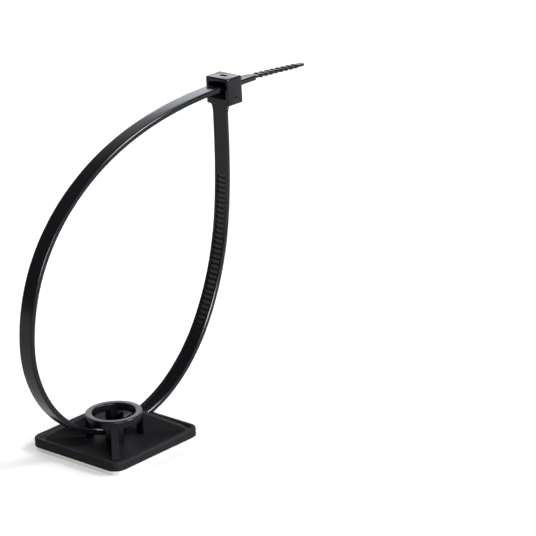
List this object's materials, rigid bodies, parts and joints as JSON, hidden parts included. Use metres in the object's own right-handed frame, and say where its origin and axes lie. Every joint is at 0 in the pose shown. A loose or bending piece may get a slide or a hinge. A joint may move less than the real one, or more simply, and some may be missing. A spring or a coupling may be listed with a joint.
{
  "type": "cable tie mount",
  "caption": "Square adhesive mount with a slotted ring boss and corner gussets, with a ratchet cable tie threaded through and closed into a tall loop.",
  "frame": {"origin": "centre of the adhesive face, on the underside of the release liner", "axes": "+Z out of the surface the mount is stuck to; +X along one side of the square base, from the loop's bulge towards the tie's head and tail; the tie lies in the XZ plane"},
  "size_m": [0.0868, 0.025, 0.07],
  "materials": {
    "mount_nylon": "moulded black nylon, satin with soft highlights",
    "foam": "matt white closed-cell foam",
    "liner": "thin pinkish release paper, smooth",
    "tie_nylon": "glossy black nylon"
  },
  "bodies": {
    "root": {"mount_base": "mount_nylon", "foam_pad": "foam", "release_liner": "liner", "cable_tie": "tie_nylon"}
  },
  "joints": []
}
